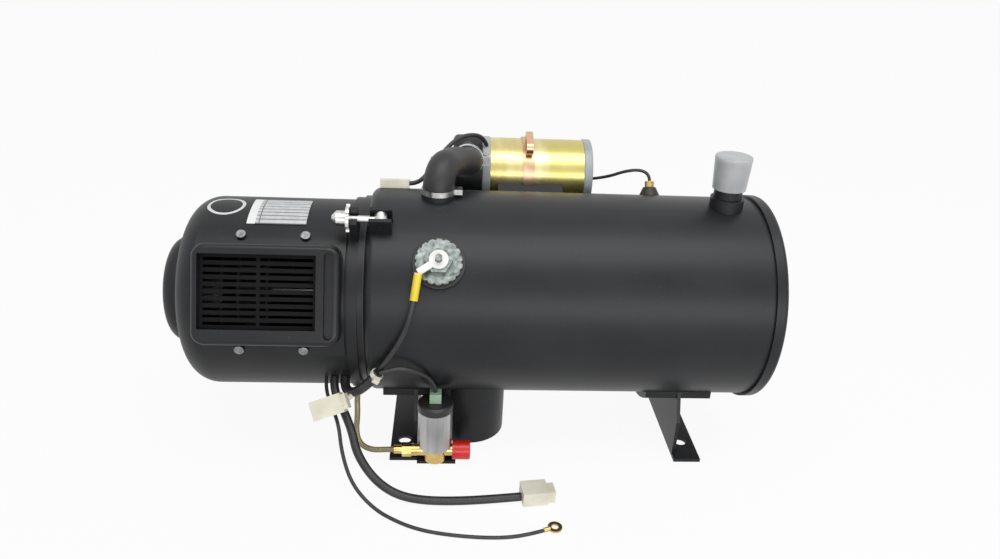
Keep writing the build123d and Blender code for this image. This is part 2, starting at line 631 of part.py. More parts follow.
# Blower wheel: a backplate and hub with blades around the rim and a front ring
with BuildPart() as blower_wheel:
    cylinder_x(FAN_X, FAN_X + 2.5, FAN_R, z=HEAD_Z)
    cylinder_x(FAN_X, FAN_X + 16, DRIVE_R + 7, z=HEAD_Z)
    with BuildSketch(across(FAN_X, z=HEAD_Z)):
        with PolarLocations(FAN_R - 7, FAN_BLADES):
            Rectangle(12, 1.6, rotation=35)
    extrude(amount=FAN_WIDTH)
    with BuildSketch(across(FAN_X + FAN_WIDTH - 2, z=HEAD_Z)):
        Circle(FAN_R)
        Circle(FAN_R - 13, mode=Mode.SUBTRACT)
    extrude(amount=2)
    cylinder_x(FAN_X, FAN_X + 16, DRIVE_R, z=HEAD_Z, mode=Mode.SUBTRACT)
keep(blower_wheel, "blower_wheel")

# Swing bolts and their nuts, which hold the head to the jacket
for where, side in SIDES.items():
    plane = clamp_side(side)
    eye_start = Plane(origin=plane.from_local_coords((0, -EYE_THICK / 2, CLAMP_R)), z_dir=plane.y_dir)
    shank = Plane(origin=plane.from_local_coords((0, 0, CLAMP_R)), z_dir=(-1, 0, 0))
    nut_x = HEAD_LUG_X - CLAMP_PIN_X - NUT_GAP
    nut_at = Plane(origin=plane.from_local_coords((nut_x, 0, CLAMP_R)), z_dir=(-1, 0, 0))
    with BuildPart() as swing_bolt:
        cylinder_on(eye_start, EYE_R, EYE_THICK)
        cylinder_on(shank, BOLT_R, BOLT_LENGTH)
        cylinder_on(eye_start, CLAMP_PIN_R + RUN, EYE_THICK, mode=Mode.SUBTRACT)
    with BuildPart() as clamp_nut:
        with BuildSketch(nut_at):
            Circle(NUT_FLANGE_R)
            with PolarLocations(NUT_FLANGE_R + 1.5, 6):
                Circle(4, mode=Mode.SUBTRACT)
        extrude(amount=NUT_FLANGE)
        cylinder_on(nut_at, NUT_R, NUT_FLANGE + NUT_LENGTH)
        tip = clamp_nut.faces().sort_by(Axis.X)[0]
        chamfer(tip.edges(), NUT_R * 0.6)
        cylinder_on(nut_at, BOLT_R + RUN, NUT_FLANGE + NUT_LENGTH - 2, mode=Mode.SUBTRACT)
        add(swing_bolt.part)
    keep(clamp_nut, f"swing_bolt_{where}")

# Feet: an angle bracket under a curved saddle, mirrored left and right
WEB_X = FOOT_SPAN / 2 - FOOT_HOLE_IN
for name, side in (("foot_right", 1), ("foot_left", -1)):
    web = Plane(origin=(side * WEB_X, 0, 0), x_dir=(0, side, 0), z_dir=(side, 0, 0))
    with BuildPart() as foot:
        box_on(Plane.XY, (min(side * WEB_X, side * (WEB_X + FOOT_FLANGE)), -FOOT_TIP_Y),
               (max(side * WEB_X, side * (WEB_X + FOOT_FLANGE)), FOOT_TIP_Y), FOOT_THICK)
        with BuildSketch(web):
            with BuildLine():
                Polyline((-WEB_TIP_Y, 0), (WEB_TIP_Y, 0), (WEB_TIP_Y, WEB_SHOULDER_Z),
                         (WEB_NECK_Y, WEB_TOP_Z), (-WEB_NECK_Y, WEB_TOP_Z),
                         (-WEB_TIP_Y, WEB_SHOULDER_Z), (-WEB_TIP_Y, 0))
            make_face()
        extrude(amount=FOOT_THICK)
        with BuildPart(mode=Mode.PRIVATE) as saddle:
            saddle_left = min(side * (WEB_X - SADDLE_BACK), side * (WEB_X + SADDLE_FRONT))
            cylinder_x(saddle_left, saddle_left + SADDLE_BACK + SADDLE_FRONT, JACKET_R + SEAT + SADDLE_THICK)
            half = (JACKET_R + SADDLE_THICK) * sin(radians(SADDLE_ANGLE))
            box_on(Plane((0, 0, 0)), (saddle_left, -half), (saddle_left + SADDLE_BACK + SADDLE_FRONT, half),
                   AXIS_Z, mode=Mode.INTERSECT)
        add(saddle.part)
        cylinder_x(-JACKET_REAR, JACKET_REAR, JACKET_R + SEAT, mode=Mode.SUBTRACT)
        with Locations((side * FOOT_SPAN / 2, FOOT_HOLE_Y, 0), (side * FOOT_SPAN / 2, -FOOT_HOLE_Y, 0)):
            Cylinder(FOOT_HOLE_R, 4 * FOOT_THICK, mode=Mode.SUBTRACT)
        if side < 0:
            cylinder_on(Plane((EXHAUST_X, EXHAUST_Y, 0)), EXHAUST_R + 1, AXIS_Z, mode=Mode.SUBTRACT)
            box_on(Plane.XY, (-WEB_X, VALVE_Y - 4), (VALVE_X + COIL_R + 4, VALVE_Y + 19), FOOT_THICK)
    keep(foot, name)

# Exhaust stub: a pipe from the exchanger's wall down through the water space
with BuildPart() as exhaust_stub:
    mouth = Plane((EXHAUST_X, EXHAUST_Y, EXHAUST_BOTTOM))
    cylinder_on(mouth, EXHAUST_R, AXIS_Z - EXHAUST_BOTTOM - 40)
    cylinder_on(mouth, EXHAUST_R - EXHAUST_WALL, AXIS_Z, mode=Mode.SUBTRACT)
    cylinder_x(JACKET_FRONT, EXCHANGER_REAR, EXCHANGER_R + SEAT, mode=Mode.SUBTRACT)
keep(exhaust_stub, "exhaust_stub")

# Water outlet and inlet stubs with their collars, and the cap that closes the outlet for transport
with BuildPart() as water_stubs:
    cylinder_on(Plane((OUTLET_X, OUTLET_Y, AXIS_Z)), OUTLET_R, OUTLET_TOP - AXIS_Z)
    cylinder_on(Plane((OUTLET_X, OUTLET_Y, AXIS_Z)), COLLAR_R, COLLAR_TOP - AXIS_Z)
    cylinder_on(Plane((INLET_X, INLET_Y, AXIS_Z)), INLET_R, INLET_TOP - AXIS_Z)
    cylinder_on(Plane((INLET_X, INLET_Y, AXIS_Z)), COLLAR_R, INLET_COLLAR_TOP - AXIS_Z)
    cylinder_x(JACKET_FRONT, JACKET_REAR, JACKET_R + SEAT, mode=Mode.SUBTRACT)
    cylinder_on(Plane((OUTLET_X, OUTLET_Y, AXIS_Z)), OUTLET_BORE, OUTLET_TOP, mode=Mode.SUBTRACT)
    cylinder_on(Plane((INLET_X, INLET_Y, AXIS_Z)), INLET_BORE, INLET_TOP, mode=Mode.SUBTRACT)
keep(water_stubs, "water_stubs")

with BuildPart() as outlet_cap:
    with BuildSketch(Plane((OUTLET_X, OUTLET_Y, CAP_BOTTOM))):
        Circle(CAP_LOW_R)
    with BuildSketch(Plane((OUTLET_X, OUTLET_Y, CAP_TOP))):
        Circle(CAP_HIGH_R)
    loft()
    cylinder_on(Plane((OUTLET_X, OUTLET_Y, CAP_BOTTOM)), OUTLET_R + 0.4, OUTLET_TOP + 1 - CAP_BOTTOM,
                mode=Mode.SUBTRACT)
    fillet(outlet_cap.edges().filter_by(GeomType.CIRCLE).sort_by(Axis.Z)[-1], 1.5)
keep(outlet_cap, "outlet_cap")

# Circulation pump: motor can between two end rings, volute on the left
with BuildPart() as pump_can:
    cylinder_x(CAN_LEFT, CAN_RIGHT, CAN_R, PUMP_Y, PUMP_Z)
    cylinder_x(CAN_LEFT, CAN_RIGHT, CAN_R - CAN_WALL, PUMP_Y, PUMP_Z, mode=Mode.SUBTRACT)
keep(pump_can, "pump_can")

with BuildPart() as pump_end_rings:
    cylinder_x(CAN_LEFT - RING_THICK, CAN_LEFT, RING_R, PUMP_Y, PUMP_Z)
    cylinder_x(CAN_RIGHT, CAN_RIGHT + RING_THICK, RING_R, PUMP_Y, PUMP_Z)
    fillet(pump_end_rings.edges().filter_by(GeomType.CIRCLE), 1.5)
    cylinder_x(CAN_LEFT - RING_THICK, CAN_RIGHT + 6, PUMP_SHAFT_R + RUN, PUMP_Y, PUMP_Z, mode=Mode.SUBTRACT)
keep(pump_end_rings, "pump_end_rings")

VOLUTE_RIGHT = CAN_LEFT - RING_THICK
VOLUTE_LEFT = VOLUTE_RIGHT - VOLUTE_LENGTH
SPOUT_Z = PUMP_Z + SPOUT_UP
SPOUT_PLANE = Plane(origin=(SPOUT_X, PUMP_Y, SPOUT_Z), z_dir=(0, -1, 0))
with BuildPart() as pump_volute:
    cylinder_x(VOLUTE_LEFT, VOLUTE_RIGHT, VOLUTE_R, PUMP_Y, PUMP_Z)
    fillet(pump_volute.edges().filter_by(GeomType.CIRCLE).sort_by(Axis.X)[0], 6)
    cylinder_x(VOLUTE_LEFT - SUCTION_LENGTH, VOLUTE_LEFT + 2, SUCTION_R, PUMP_Y, PUMP_Z)
    cylinder_on(SPOUT_PLANE, INLET_R, PUMP_Y - SPOUT_END_Y)
    cylinder_x(VOLUTE_LEFT + VOLUTE_WALL, VOLUTE_RIGHT, VOLUTE_R - VOLUTE_WALL, PUMP_Y, PUMP_Z,
               mode=Mode.SUBTRACT)
    cylinder_x(VOLUTE_LEFT - SUCTION_LENGTH, VOLUTE_LEFT + 5, SUCTION_R - 2.5, PUMP_Y, PUMP_Z,
               mode=Mode.SUBTRACT)
    cylinder_on(SPOUT_PLANE, INLET_BORE - 3, PUMP_Y, mode=Mode.SUBTRACT)
keep(pump_volute, "pump_volute")

IMPELLER_RIGHT = VOLUTE_RIGHT - 2
with BuildPart() as pump_rotor:
    rotor_mid = (CAN_LEFT + CAN_RIGHT) / 2
    cylinder_x(rotor_mid - ROTOR_LENGTH / 2, rotor_mid + ROTOR_LENGTH / 2, ROTOR_R, PUMP_Y, PUMP_Z)
    cylinder_x(IMPELLER_RIGHT - IMPELLER_WIDTH, CAN_RIGHT + 5, PUMP_SHAFT_R, PUMP_Y, PUMP_Z)
    cylinder_x(IMPELLER_RIGHT - 3, IMPELLER_RIGHT, IMPELLER_R, PUMP_Y, PUMP_Z)
    with BuildSketch(across(IMPELLER_RIGHT - IMPELLER_WIDTH, PUMP_Y, PUMP_Z)):
        Circle(PUMP_SHAFT_R + 4)
        with PolarLocations(IMPELLER_R / 2 + 3, IMPELLER_VANES):
            Rectangle(IMPELLER_R - 8, 2.5, rotation=20)
    extrude(amount=IMPELLER_WIDTH)
keep(pump_rotor, "pump_rotor")

# Cradle between the jacket and the pump, and the strap that holds the pump in it
cradle_plane = outward(0, -PUMP_ANGLE, 0)
with BuildPart() as pump_cradle:
    box_on(cradle_plane, (CRADLE_LEFT, -CRADLE_HALF), (CRADLE_RIGHT, CRADLE_HALF), PUMP_FAR - 18)
    cylinder_x(CRADLE_LEFT, CRADLE_RIGHT, JACKET_R + SEAT, mode=Mode.SUBTRACT)
    cylinder_x(CRADLE_LEFT, CRADLE_RIGHT, CAN_R + SEAT, PUMP_Y, PUMP_Z, mode=Mode.SUBTRACT)
    strap_half = STRAP_WIDTH / 2 + 0.5
    cylinder_x(STRAP_X - strap_half, STRAP_X + strap_half, CAN_R + STRAP_THICK + 3 * SEAT, PUMP_Y, PUMP_Z,
               mode=Mode.SUBTRACT)
keep(pump_cradle, "pump_cradle")

with BuildPart() as pump_strap:
    strap_left = STRAP_X - STRAP_WIDTH / 2
    cylinder_x(strap_left, strap_left + STRAP_WIDTH, CAN_R + SEAT + STRAP_THICK, PUMP_Y, PUMP_Z)
    cylinder_x(strap_left, strap_left + STRAP_WIDTH, CAN_R + SEAT, PUMP_Y, PUMP_Z, mode=Mode.SUBTRACT)
EYE_NORMAL = (0, -sin(radians(EYE_SCREW_ANGLE)), cos(radians(EYE_SCREW_ANGLE)))
EYE_FOOT = CAN_R + 2 * SEAT + STRAP_THICK
with BuildPart() as screw_eye:
    eye_plane = Plane(origin=(STRAP_X - 3.5, PUMP_Y, PUMP_Z), x_dir=EYE_NORMAL, z_dir=(1, 0, 0))
    with BuildSketch(eye_plane):
        with Locations((EYE_FOOT + 6, 0)):
            SlotOverall(28, 14, rotation=90)
            SlotOverall(20, 6, rotation=90, mode=Mode.SUBTRACT)
    extrude(amount=7)
    cylinder_x(STRAP_X - 8, STRAP_X + 8, EYE_FOOT, PUMP_Y, PUMP_Z, mode=Mode.SUBTRACT)
pump_strap.part = Compound(children=[*pump_strap.part.solids(), *screw_eye.part.solids()])
keep(pump_strap, "pump_strap")

# Front temperature sensor: rubber rim, plated flange, nut, stud and the lead's eyelet
with BuildPart() as sensor_rim:
    cylinder_on(outward(SENSOR_X, SENSOR_ANGLE, 60), SENSOR_RIM_R, JACKET_R + SENSOR_RIM - 60)
    sensor_axis = Axis(origin=(0, 0, AXIS_Z), direction=outward(0, SENSOR_ANGLE, 0).z_dir)
    fillet(sensor_rim.faces().sort_by(sensor_axis)[-1].edges(), 1)
    cylinder_x(SENSOR_X - 40, SENSOR_X + 40, JACKET_R + SEAT, mode=Mode.SUBTRACT)
    cylinder_on(outward(SENSOR_X, SENSOR_ANGLE, 60), SENSOR_PROBE_R + SEAT, 60, mode=Mode.SUBTRACT)
keep(sensor_rim, "sensor_rim")

SENSOR_SEAT = JACKET_R + SENSOR_RIM
with BuildPart() as temperature_sensor:
    with BuildSketch(outward(SENSOR_X, SENSOR_ANGLE, SENSOR_SEAT)):
        Circle(SENSOR_PLATE_R)
        with PolarLocations(SENSOR_PLATE_R + 0.6, 18):
            Circle(1.8, mode=Mode.SUBTRACT)
    extrude(amount=SENSOR_PLATE)
    with BuildSketch(outward(SENSOR_X, SENSOR_ANGLE, SENSOR_SEAT + SENSOR_PLATE)):
        RegularPolygon(SENSOR_NUT_R, 6)
    extrude(amount=SENSOR_NUT)
    cylinder_on(outward(SENSOR_X, SENSOR_ANGLE, SENSOR_SEAT - SENSOR_PROBE - SENSOR_RIM), SENSOR_PROBE_R,
                SENSOR_PROBE + SENSOR_RIM)
    cylinder_on(outward(SENSOR_X, SENSOR_ANGLE, SENSOR_SEAT), STUD_R, SENSOR_PLATE + SENSOR_NUT + STUD_LENGTH)
keep(temperature_sensor, "temperature_sensor")

TERMINAL_BASE = SENSOR_SEAT + SENSOR_PLATE + SENSOR_NUT
with BuildPart() as sensor_terminal:
    with BuildSketch(outward(SENSOR_X, SENSOR_ANGLE, TERMINAL_BASE)):
        Circle(TERMINAL_R)
        with Locations((-9.5, -6.5)):
            Rectangle(6, 20, rotation=-56)
        Circle(STUD_R + SEAT, mode=Mode.SUBTRACT)
    extrude(amount=TERMINAL_THICK)
    sleeve = Plane(origin=SLEEVE_TOP, z_dir=[b - a for a, b in zip(SLEEVE_TOP, SLEEVE_END)])
    cylinder_on(sleeve, SLEEVE_R, unit(SLEEVE_TOP, SLEEVE_END)[1])
keep(sensor_terminal, "sensor_terminal")

# Overheat sensor on the top: rubber boot with a brass cap above it
with BuildPart() as overheat_sensor:
    with BuildSketch(outward(GUARD_X, GUARD_ANGLE, JACKET_R - 10)):
        Circle(GUARD_BOOT_R + 2)
    with BuildSketch(outward(GUARD_X, GUARD_ANGLE, JACKET_R + GUARD_BOOT)):
        Circle(GUARD_BOOT_TOP_R)
    loft()
    cylinder_x(GUARD_X - 30, GUARD_X + 30, JACKET_R + SEAT, mode=Mode.SUBTRACT)
    cylinder_on(outward(GUARD_X, GUARD_ANGLE, JACKET_R + GUARD_BOOT), GUARD_CAP_R, GUARD_CAP)
keep(overheat_sensor, "overheat_sensor")

# Solenoid valve on the left foot's shelf: brass body, coil, cap with its plug, plunger and spring
PORT_LEFT = VALVE_X - VALVE_BODY_R - 12
PORT_RIGHT = VALVE_X + VALVE_BODY_R + 12
with BuildPart() as valve_body:
    with BuildSketch(Plane((VALVE_X, VALVE_Y, FOOT_THICK))):
        Circle(VALVE_BODY_R)
    extrude(amount=VALVE_BODY_TOP - FOOT_THICK)
    fillet(valve_body.edges().filter_by(GeomType.CIRCLE).sort_by(Axis.Z)[0], 2)
    cylinder_x(PORT_LEFT, PORT_RIGHT, VALVE_PORT_R, VALVE_Y, VALVE_PORT_Z - 4)
    cylinder_on(Plane((VALVE_X, VALVE_Y, VALVE_BODY_TOP)), CORE_R, COIL_TOP - VALVE_BODY_TOP)
    cylinder_on(Plane((VALVE_X, VALVE_Y, VALVE_PORT_Z)), CORE_R - CORE_WALL, COIL_TOP - VALVE_PORT_Z - 2,
                mode=Mode.SUBTRACT)
    cylinder_x(PORT_LEFT, PORT_RIGHT, 2.0, VALVE_Y, VALVE_PORT_Z - 4, mode=Mode.SUBTRACT)
    cylinder_on(Plane((VALVE_X, VALVE_Y, VALVE_PORT_Z - 4)), 2.0, 10, mode=Mode.SUBTRACT)
keep(valve_body, "valve_body")

with BuildPart() as solenoid_coil:
    with BuildSketch(Plane((VALVE_X, VALVE_Y, VALVE_BODY_TOP))):
        RegularPolygon(COIL_R, COIL_SIDES)
        Circle(CORE_R + SEAT, mode=Mode.SUBTRACT)
    extrude(amount=COIL_TOP - VALVE_BODY_TOP)
keep(solenoid_coil, "solenoid_coil")

with BuildPart() as solenoid_cap:
    cylinder_on(Plane((VALVE_X, VALVE_Y, COIL_TOP)), VALVE_CAP_R, VALVE_CAP_TOP - COIL_TOP)
    fillet(solenoid_cap.edges().filter_by(GeomType.CIRCLE).sort_by(Axis.Z)[-1], 3)
    half = PLUG_SIDE / 2
    box_on(Plane((VALVE_X, VALVE_Y, VALVE_CAP_TOP)), (-half, -half), (half, half), PLUG_HEIGHT)
keep(solenoid_cap, "solenoid_cap")

PLUNGER_R = CORE_R - CORE_WALL - RUN
with BuildPart() as valve_plunger:
    cylinder_on(Plane((VALVE_X, VALVE_Y, VALVE_PORT_Z + 0.2)), PLUNGER_R, PLUNGER_LENGTH)
keep(valve_plunger, "valve_plunger")

SPRING_WIRE = 0.6
SPRING_BOTTOM = VALVE_PORT_Z + 0.2 + PLUNGER_LENGTH + SPRING_WIRE + 0.2
SPRING_TOP = COIL_TOP - 2 - SPRING_WIRE - 0.2
with BuildPart() as valve_spring:
    with BuildLine() as spring_line:
        Helix(pitch=(SPRING_TOP - SPRING_BOTTOM) / 6, height=SPRING_TOP - SPRING_BOTTOM, radius=4.2,
              center=(VALVE_X, VALVE_Y, SPRING_BOTTOM))
    with BuildSketch(Plane(origin=spring_line.line @ 0, z_dir=spring_line.line % 0)):
        Circle(SPRING_WIRE)
    sweep(is_frenet=True)
keep(valve_spring, "valve_spring")

with BuildPart() as fuel_fitting:
    with BuildSketch(across(PORT_LEFT - 9, VALVE_Y, VALVE_PORT_Z - 4)):
        RegularPolygon(7.0, 6)
    extrude(amount=9)
    cylinder_x(PORT_LEFT - 17, PORT_LEFT - 9, 4.2, VALVE_Y, VALVE_PORT_Z - 4)
keep(fuel_fitting, "fuel_fitting")

with BuildPart() as red_cap:
    cylinder_x(RED_CAP_LEFT, RED_CAP_RIGHT, RED_CAP_R, VALVE_Y, VALVE_PORT_Z - 4)
    cylinder_x(RED_CAP_LEFT, PORT_RIGHT + 0.4, VALVE_PORT_R + 0.3, VALVE_Y, VALVE_PORT_Z - 4,
               mode=Mode.SUBTRACT)
    fillet(red_cap.edges().filter_by(GeomType.CIRCLE).sort_by(Axis.X)[-1], 1.5)
keep(red_cap, "red_cap")

# Hose from the pump's spout to the inlet stub, with a band clip at each end
HOSE_BORE = INLET_R + SEAT
HOSE_R = HOSE_BORE + HOSE_WALL
HOSE_END_Y = SPOUT_END_Y + 9
hose_points = [(INLET_X, INLET_Y, INLET_COLLAR_TOP), (INLET_X, INLET_Y, HOSE_PEAK),
               (INLET_X + 15, INLET_Y + 42, 270), (SPOUT_X, SPOUT_END_Y - 5, SPOUT_Z),
               (SPOUT_X, HOSE_END_Y, SPOUT_Z)]
hose_bends = [HOSE_BEND] + bend_radii("pump_hose", hose_points)[1:]
with BuildPart() as pump_hose:
    with BuildLine() as hose_route:
        FilletPolyline(*hose_points, radius=hose_bends)
    with BuildSketch(Plane(origin=hose_points[0], z_dir=(0, 0, 1))):
        Circle(HOSE_R)
        Circle(HOSE_BORE, mode=Mode.SUBTRACT)
    sweep()
keep(pump_hose, "pump_hose")

with BuildPart() as hose_clamps:
    for at, facing in (((INLET_X, INLET_Y, INLET_COLLAR_TOP + BAND_CLIP_GAP), (0, 0, 1)),
                       ((SPOUT_X, HOSE_END_Y - BAND_CLIP_GAP, SPOUT_Z), (0, -1, 0))):
        ring = Plane(origin=at, x_dir=(1, 0, 0), z_dir=facing)
        cylinder_on(ring, HOSE_R + BAND_CLIP_GAP + BAND_CLIP, BAND_CLIP_WIDTH)
        box_on(ring, (HOSE_R + BAND_CLIP_GAP, -5), (HOSE_R + 8, 5), BAND_CLIP_WIDTH)
        cylinder_on(ring, HOSE_R + BAND_CLIP_GAP, BAND_CLIP_WIDTH, mode=Mode.SUBTRACT)
keep(hose_clamps, "hose_clamps")

# Harness: the bundle leaves the head's underside and is tied where the two sensor leads part
OUT_Y = -0.796
OUT_Z = -0.605
LEAVE_R = HEAD_R + 0.3
BUNDLE_END = (-163.0, -101.5, 112.5)


def leave(x, far):
    """A point above the head's underside, straight out from where a lead comes through it."""
    return (x, OUT_Y * (LEAVE_R + far), HEAD_Z + OUT_Z * (LEAVE_R + far))


bundle_points = [leave(-197.5, 0), leave(-197.5, 11), (-187.0, -94.0, 84.0), (-173.0, -99.5, 98.0),
                 BUNDLE_END]
harness_bundle = lead("harness_bundle", bundle_points, BUNDLE_R)

along, _ = unit(bundle_points[-2], BUNDLE_END)
INWARD = (0, along[2], -along[1])
tie_plane = Plane(origin=[BUNDLE_END[i] - 6 * along[i] for i in range(3)], z_dir=along, x_dir=INWARD)
with BuildPart() as cable_tie:
    cylinder_on(tie_plane, BUNDLE_R + SEAT + 1.2, 4)
    box_on(tie_plane, (-BUNDLE_R - 6, -3), (-BUNDLE_R, 3), 4)
    cylinder_on(tie_plane, BUNDLE_R + SEAT, 4, mode=Mode.SUBTRACT)
keep(cable_tie, "cable_tie")

end_plane = Plane(origin=BUNDLE_END, z_dir=along, x_dir=INWARD)
sensor_start = tuple(end_plane.from_local_coords((2.2, 0, 0.9)))
valve_start = tuple(end_plane.from_local_coords((-3.0, 0, 1.4)))
lead("sensor_lead", [sensor_start, (-157.0, -105.0, 124.0), (-146.0, -107.8, 143.0), (-137.5, -108.5, 162.0),
                     (-133.5, -106.8, 178.0), (-131.6, -104.2, 186.4)], SENSOR_LEAD_R)
PLUG_TOP = VALVE_CAP_TOP + PLUG_HEIGHT
lead("valve_lead", [valve_start, (-152.0, -104.5, 117.5), (-139.0, -103.0, 117.5), (-126.0, -97.0, 109.5),
                    (-115.0, -89.0, 97.0), (VALVE_X, VALVE_Y, PLUG_TOP + 0.8)], VALVE_LEAD_R)

# Multi-pin connector beside the bundle, with the short tail that joins it to the bundle
CONNECTOR_MID = (-206.0, -103.5, 77.0)
connector_plane = Plane(origin=CONNECTOR_MID, x_dir=(cos(radians(22)), 0, sin(radians(22))),
                        z_dir=(-sin(radians(22)) * 0.5, -0.866, cos(radians(22)) * 0.5))
with BuildPart() as harness_connector:
    box_on(connector_plane, (-17, -9), (13, 9), 11)
    box_on(connector_plane, (13, -7), (17, 7), 9)
    tail_start = connector_plane.from_local_coords((12, 0, 4))
    tail_way, tail_reach = unit(tuple(tail_start), (-187.6, -94.2, 83.6))
    cylinder_on(Plane(origin=tail_start, z_dir=tail_way), CONNECTOR_TAIL_R, tail_reach - BUNDLE_R + 0.8)
keep(harness_connector, "harness_connector")

# Power cable: from the head down to the ground and along it to its connector
lead("power_cable", [leave(-207.5, 0), leave(-207.5, 12), (-197.0, -96.0, 67.0),
                     (-188.0, -109.0, 52.0), (-183.0, -122.0, 38.0), (-170.0, -134.0, 23.0),
                     (-156.0, -141.0, 13.0), (-141.0, -144.5, 6.6), (-123.0, -147.3, 4.4),
                     (-100.0, -148.6, 4.2), (-66.0, -146.8, 4.2), (-30.7, -142.1, 4.2)], POWER_R)
with BuildPart() as power_connector:
    power_plane = Plane(origin=(-30.0, -142.0, 0.3), x_dir=(0.993, 0.12, 0), z_dir=(0, 0, 1))
    box_on(power_plane, (0, -10), (24, 10), 14)
    box_on(power_plane, (24, -7), (31, 7), 12)
keep(power_connector, "power_connector")

# Ground wire with its ring terminal
lead("ground_wire", [leave(-215.0, 0), leave(-215.0, 10), (-209.0, -95.0, 73.0),
                     (-200.0, -110.0, 62.0), (-195.8, -127.0, 41.0), (-185.0, -146.0, 20.5),
                     (-164.0, -161.0, 5.0), (-139.6, -175.4, 2.0),
                     (-119.0, -184.5, 1.9), (-95.0, -189.8, 1.9), (-69.0, -192.8, 1.9), (-46.0, -192.8, 1.9),
                     (-27.0, -189.0, 1.9), (-13.6, -184.2, 1.9)], GROUND_R)
with BuildPart() as ring_terminal:
    ring_plane = Plane(origin=(-13.0, -184.0, 2.3), x_dir=(0.94, 0.34, 0), z_dir=(0, 0, 1))
    with Locations(ring_plane):
        Cylinder(2.1, 6, rotation=(0, 90, 0), align=FROM_BASE)
        with Locations((11, 0, -0.8)):
            Cylinder(6.5, 1.6, align=FROM_BASE)
            Cylinder(3.2, 1.6, align=FROM_BASE, mode=Mode.SUBTRACT)
keep(ring_terminal, "ring_terminal")

# Fuel hose from the head's underside to the valve's fitting
FUEL_LEAVE_R = HEAD_R + BAND_HEIGHT + 0.3
FITTING_LEFT = PORT_LEFT - 17
lead("fuel_hose", [(-187.5, -0.628 * FUEL_LEAVE_R, HEAD_Z - 0.778 * FUEL_LEAVE_R), (-187.8, -67.0, 61.0),
                   (-187.0, -73.0, 46.0), (-188.5, -78.5, 30.0), (-184.5, -83.0, 18.5), (-174.0, -85.4, 13.6),
                   (-162.0, -85.2, 13.6), (FITTING_LEFT - 0.5, VALVE_Y, VALVE_PORT_Z - 4)], FUEL_R)

# Lead of the overheat sensor, down to the rear end ring of the pump
guard_top = outward(GUARD_X, GUARD_ANGLE, JACKET_R + GUARD_BOOT + GUARD_CAP + 0.6).origin
RING_RIGHT = CAN_RIGHT + RING_THICK
lead("overheat_lead", [tuple(guard_top), (100.5, 47.8, 259.5), (90.0, 48.5, 264.0), (75.0, 52.0, 260.5),
                       (61.0, 62.0, 251.0), (RING_RIGHT + 1.6, 80.0, 243.0)], GUARD_LEAD_R)

# Plug on the jacket's top left, and the lead from it to the pump's front ring
plug_plane = outward(-150.0, -16.0, JACKET_R - 1)
with BuildPart() as pump_plug:
    box_on(plug_plane, (-20, -6), (8, 6), 10)
    fillet(pump_plug.edges().filter_by(Axis.X), 1.5)
    cylinder_x(JACKET_FRONT - 9, JACKET_REAR, JACKET_R + SEAT, mode=Mode.SUBTRACT)
keep(pump_plug, "pump_plug")
ring_top = (CAN_LEFT - RING_THICK / 2, PUMP_Y - 18.5, PUMP_Z + RING_R * 0.87 + 1.2)
plug_face = tuple(plug_plane.from_local_coords((8.3, 0, 6)))
plug_exit = tuple(plug_plane.from_local_coords((18, 0, 6)))
lead("pump_lead", [plug_face, plug_exit, (-119.0, 46.0, 262.5), (-107.0, 60.0, 276.0),
                   (-94.0, 70.0, 285.5), (-79.0, 80.0, 286.5), (-68.0, 88.0, 281.0), ring_top],
     PUMP_LEAD_R)
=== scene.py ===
# %% [markdown]
# A diesel coolant heater for a bus: a burner head is clamped to a long water jacket that stands on
# two feet. The solids come packed in model.glb, so this lesson starts by loading them as a
# fixed frame. Every length below is in metres, in the frame of those solids.

# %% Load the solids
import bpy
from math import cos, pi, radians, sin
from mathutils import Matrix, Vector


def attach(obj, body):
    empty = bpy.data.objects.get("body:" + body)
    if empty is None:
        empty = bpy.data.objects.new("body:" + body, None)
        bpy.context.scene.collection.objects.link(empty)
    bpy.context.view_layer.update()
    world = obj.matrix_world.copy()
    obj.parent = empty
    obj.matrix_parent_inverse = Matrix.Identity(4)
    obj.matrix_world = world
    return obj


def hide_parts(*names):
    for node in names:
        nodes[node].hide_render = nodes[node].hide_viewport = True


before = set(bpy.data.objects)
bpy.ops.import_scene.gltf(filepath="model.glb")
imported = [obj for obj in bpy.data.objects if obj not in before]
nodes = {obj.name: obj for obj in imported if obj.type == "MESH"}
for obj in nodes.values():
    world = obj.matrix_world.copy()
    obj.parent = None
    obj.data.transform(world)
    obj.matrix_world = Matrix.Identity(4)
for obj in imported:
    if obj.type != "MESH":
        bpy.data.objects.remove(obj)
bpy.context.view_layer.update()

# %% [markdown]
# The camera stands in front of the heater, a little above it, as whoever took the picture stood.
# A short lens close by gives the strong perspective that makes the left end look lower. The three
# axes of the camera are worked out from its azimuth, its elevation and a small roll.

# %% Camera
AZIMUTH, ELEVATION, ROLL, DISTANCE = radians(-4.17), radians(25.1), radians(2.96), 0.8047
TARGET = Vector((-0.04988, 0.0, 0.15998))
back = Vector((sin(AZIMUTH) * cos(ELEVATION), -cos(AZIMUTH) * cos(ELEVATION), sin(ELEVATION)))
level = Vector((cos(AZIMUTH), sin(AZIMUTH), 0.0))
upright = back.cross(level)
right = level * cos(ROLL) + upright * sin(ROLL)
above = upright * cos(ROLL) - level * sin(ROLL)
camera_data = bpy.data.cameras.new("camera")
camera_data.lens, camera_data.sensor_width = 28.8, 36.0
camera_data.clip_start, camera_data.clip_end = 0.01, 60.0
camera = bpy.data.objects.new("camera", camera_data)
bpy.context.scene.collection.objects.link(camera)
turned = Matrix((right, above, back)).transposed().to_4x4()
camera.matrix_world = Matrix.Translation(TARGET + back * DISTANCE) @ turned
bpy.context.scene.camera = camera
print("camera at", [round(v, 3) for v in camera.matrix_world.translation])

